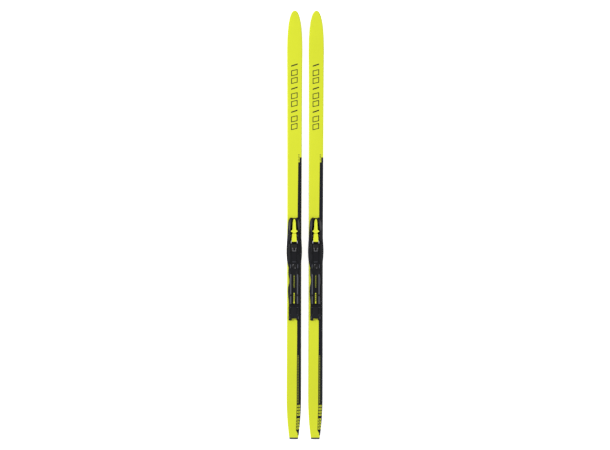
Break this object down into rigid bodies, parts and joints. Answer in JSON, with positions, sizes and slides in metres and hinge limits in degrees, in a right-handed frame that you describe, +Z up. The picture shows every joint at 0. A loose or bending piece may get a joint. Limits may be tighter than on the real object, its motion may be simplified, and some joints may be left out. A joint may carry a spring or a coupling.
{
  "type": "pair of cross country skis with toe bindings",
  "caption": "Pair of cambered classic cross country skis with upturned tips, each with a sliding toe binding, press lever and steel toe-bar jaw.",
  "frame": {"origin": "centre of the pair's bounding box, at the bottom", "axes": "+X across the skis to the right one, +Y along the skis to the tips, +Z up"},
  "size_m": [0.1214, 1.4, 0.0605],
  "materials": {
    "running_base": "satin sintered polyethylene",
    "laminate": "glass fibre laminate",
    "wood_core": "raw strips",
    "cap": "satin yellow-green with a dark stripe",
    "tail_guard": "satin",
    "plate": "fine grain",
    "track": "fine grain",
    "housing": "fine grain",
    "steel": "brushed",
    "dark_steel": "blackened",
    "flexor": "matt",
    "clip": "satin",
    "accent": "satin yellow-green",
    "lock": "satin"
  },
  "bodies": {
    "left_ski": {"left_base": "running_base", "left_bottom_laminate": "laminate", "left_core": "wood_core", "left_top_laminate": "laminate", "left_cap": "cap", "left_tail_guard": "tail_guard", "left_mounting_plate": "plate", "left_heel_pad": "track"},
    "left_carriage": {"left_slide_shoe": "plate", "left_front_housing": "housing", "left_toe_seat": "dark_steel", "left_flexor": "flexor", "left_flexor_clip": "clip", "left_rear_track": "track", "left_track_inlay": "accent", "left_front_screws": "steel", "left_rear_screws": "steel", "left_lever_pin": "steel"},
    "left_lever": {"left_release_lever": "accent"},
    "left_jaw": {"left_jaw_slider": "accent", "left_jaw_claw": "steel", "left_jaw_spring": "steel"},
    "left_lock": {"left_position_lock": "lock"},
    "right_ski": {"right_base": "running_base", "right_bottom_laminate": "laminate", "right_core": "wood_core", "right_top_laminate": "laminate", "right_cap": "cap", "right_tail_guard": "tail_guard", "right_mounting_plate": "plate", "right_heel_pad": "track"},
    "right_carriage": {"right_slide_shoe": "plate", "right_front_housing": "housing", "right_toe_seat": "dark_steel", "right_flexor": "flexor", "right_flexor_clip": "clip", "right_rear_track": "track", "right_track_inlay": "accent", "right_front_screws": "steel", "right_rear_screws": "steel", "right_lever_pin": "steel"},
    "right_lever": {"right_release_lever": "accent"},
    "right_jaw": {"right_jaw_slider": "accent", "right_jaw_claw": "steel", "right_jaw_spring": "steel"},
    "right_lock": {"right_position_lock": "lock"}
  },
  "joints": [
    {"name": "left_carriage_slide", "type": "slide", "parent": "left_ski", "child": "left_carriage", "axis": [0, 1, 0], "range_m": [-0.008, 0.008]},
    {"name": "left_lever_press", "type": "hinge", "parent": "left_carriage", "child": "left_lever", "pos_m": [-0.0352, -0.0195, 0.0455], "axis": [1, 0, 0], "range_deg": [-8.2, 0], "stiffness_Nm_per_rad": 1.6, "springref_deg": 5.73},
    {"name": "left_jaw_slide", "type": "slide", "parent": "left_carriage", "child": "left_jaw", "axis": [0, 1, 0], "range_m": [0, 0.0041], "deforming": ["left_jaw_spring"]},
    {"name": "left_lock_turn", "type": "hinge", "parent": "left_carriage", "child": "left_lock", "pos_m": [-0.0352, -0.1339, 0.045], "axis": [0, 0, 1], "range_deg": [0, 90]},
    {"name": "right_carriage_slide", "type": "slide", "parent": "right_ski", "child": "right_carriage", "axis": [0, 1, 0], "range_m": [-0.008, 0.008]},
    {"name": "right_lever_press", "type": "hinge", "parent": "right_carriage", "child": "right_lever", "pos_m": [0.0352, -0.0195, 0.0455], "axis": [1, 0, 0], "range_deg": [-8.2, 0], "stiffness_Nm_per_rad": 1.6, "springref_deg": 5.73},
    {"name": "right_jaw_slide", "type": "slide", "parent": "right_carriage", "child": "right_jaw", "axis": [0, 1, 0], "range_m": [0, 0.0041], "deforming": ["right_jaw_spring"]},
    {"name": "right_lock_turn", "type": "hinge", "parent": "right_carriage", "child": "right_lock", "pos_m": [0.0352, -0.1339, 0.045], "axis": [0, 0, 1], "range_deg": [0, 90]},
    {"name": "skis_apart", "type": "slide", "parent": "left_ski", "child": "right_ski", "axis": [1, 0, 0], "range_m": [0, 0.3]}
  ],
  "couplings": [
    {"joint": "left_jaw_slide", "follows": "left_lever_press", "m_per_rad": -0.0286},
    {"joint": "right_jaw_slide", "follows": "right_lever_press", "m_per_rad": -0.0286}
  ]
}
